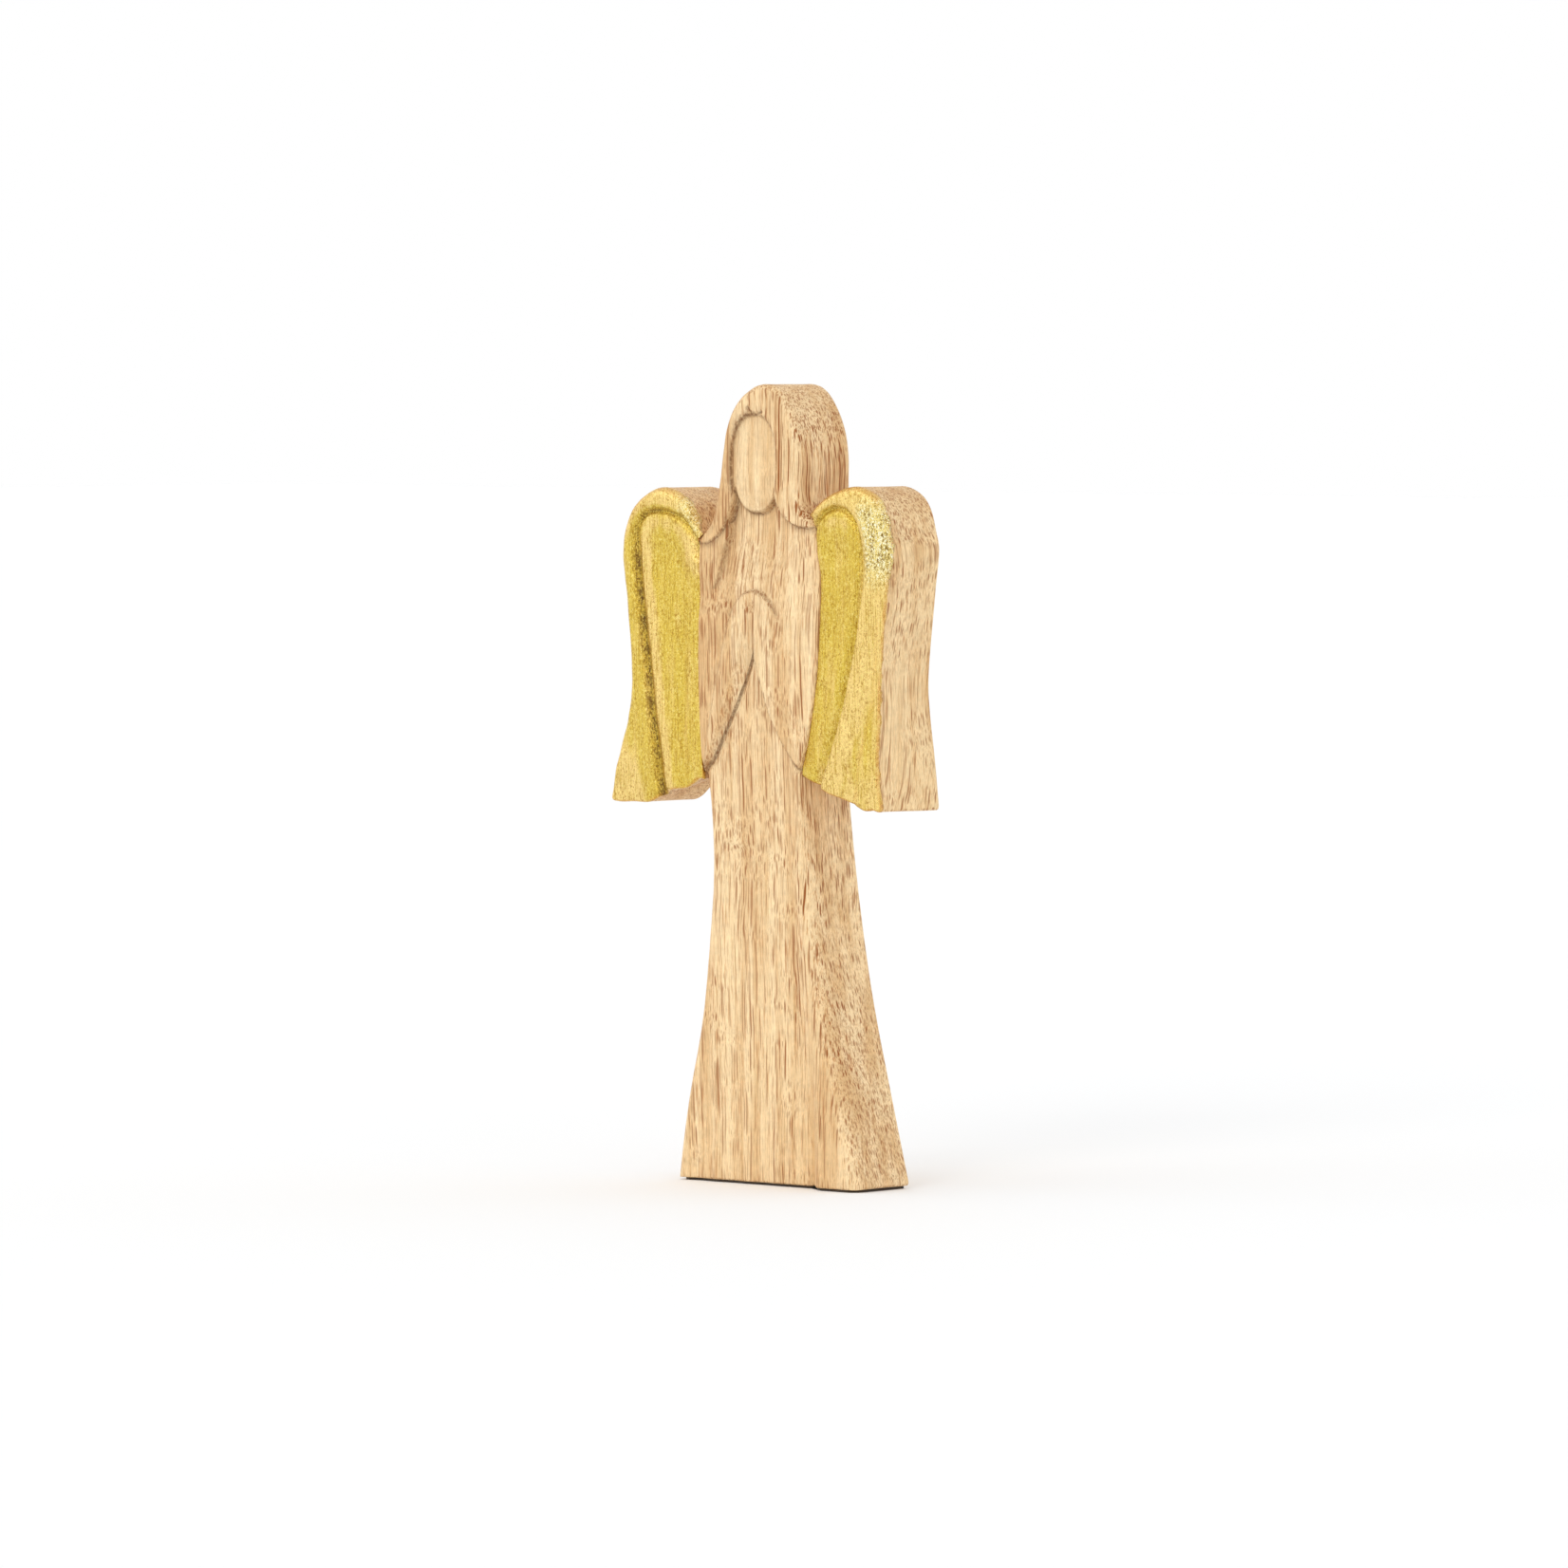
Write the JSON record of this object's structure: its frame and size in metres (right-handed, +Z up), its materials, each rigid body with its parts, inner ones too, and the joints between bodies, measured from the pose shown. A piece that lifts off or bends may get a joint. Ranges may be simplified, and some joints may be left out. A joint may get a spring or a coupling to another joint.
{
  "type": "carved wooden angel figurine",
  "caption": "Free-standing carved wooden angel in a long robe, praying sleeves, blank oval face, dowelled wings with gilded fronts.",
  "frame": {"origin": "on the standing plane, under the middle of the overall box", "axes": "+Z up, the carved front towards -Y, the thickness of the board along Y, the wings spread along X"},
  "size_m": [0.1172, 0.0254, 0.25],
  "materials": {
    "body_wood": "bare sanded light hardwood, upright grain with short dark pores",
    "wing_wood": "bare sanded light hardwood, upright grain with short dark pores",
    "gold_leaf": "soft gold leaf with worn spots along the edges and grooves",
    "dowel_wood": "plain turned dowel, glued",
    "base_felt": "thin dark felt"
  },
  "bodies": {
    "root": {"carved_body": "body_wood", "left_wing": "wing_wood", "right_wing": "wing_wood", "left_wing_gilding": "gold_leaf", "right_wing_gilding": "gold_leaf", "left_upper_dowel": "dowel_wood", "left_lower_dowel": "dowel_wood", "right_upper_dowel": "dowel_wood", "right_lower_dowel": "dowel_wood", "base_pad": "base_felt"}
  },
  "joints": []
}
